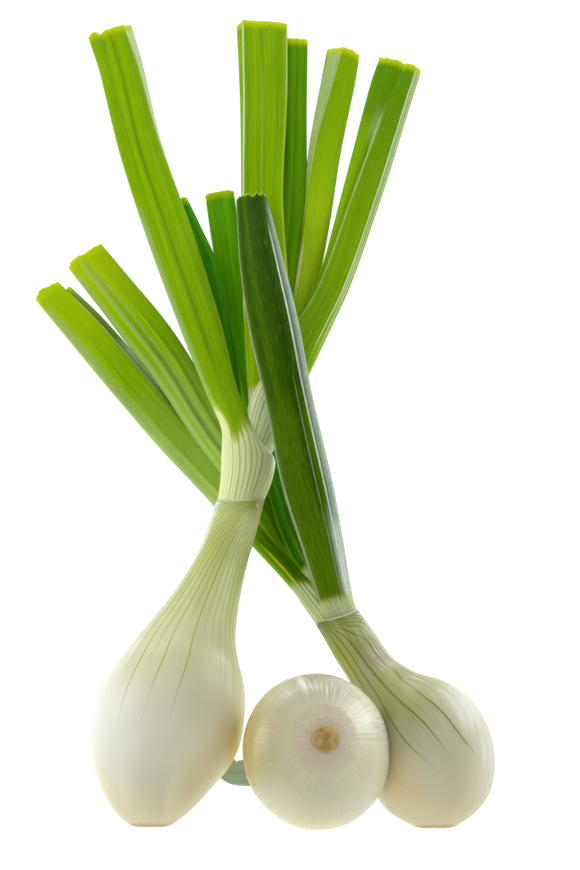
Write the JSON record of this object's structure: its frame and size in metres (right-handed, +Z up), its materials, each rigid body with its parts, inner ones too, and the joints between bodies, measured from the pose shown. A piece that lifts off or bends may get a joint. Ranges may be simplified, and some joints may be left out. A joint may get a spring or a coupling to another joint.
{
  "type": "spring onion bunch",
  "caption": "Bunch of white-bulbed spring onions with pale striped necks and trimmed green leaves, lying down with the leaves crossed.",
  "frame": {"origin": "middle of the bunch's footprint on the surface it lies on", "axes": "+Y from the bulbs to the cut leaf tips, +Z up, +X to the right seen from above with the bulbs nearest"},
  "size_m": [0.1707, 0.3674, 0.0557],
  "materials": {
    "bulb_scale": "smooth waxy white onion scale with faint green veins, satin gloss",
    "root_stub": "dry brown trimmed root stub, matt",
    "leaf_green": "bright green hollow leaf with fine lengthwise ribs, waxy sheen",
    "leaf_dark": "dark olive-green hollow leaf with a waxy bloom on one edge",
    "leaf_grey": "grey-green flattened leaf, matt"
  },
  "bodies": {
    "root": {"left_bulb": "bulb_scale", "middle_bulb": "bulb_scale", "right_bulb": "bulb_scale", "left_root_plate": "root_stub", "middle_root_plate": "root_stub", "right_root_plate": "root_stub", "left_leaf_1": "leaf_green", "left_leaf_2": "leaf_green", "left_leaf_3": "leaf_green", "left_leaf_4": "leaf_green", "left_leaf_5": "leaf_green", "left_leaf_6": "leaf_green", "right_leaf_1": "leaf_dark", "right_leaf_2": "leaf_green", "right_leaf_3": "leaf_green", "right_leaf_4": "leaf_green", "right_leaf_5": "leaf_dark", "middle_leaf_1": "leaf_grey", "middle_leaf_2": "leaf_grey"}
  },
  "joints": []
}
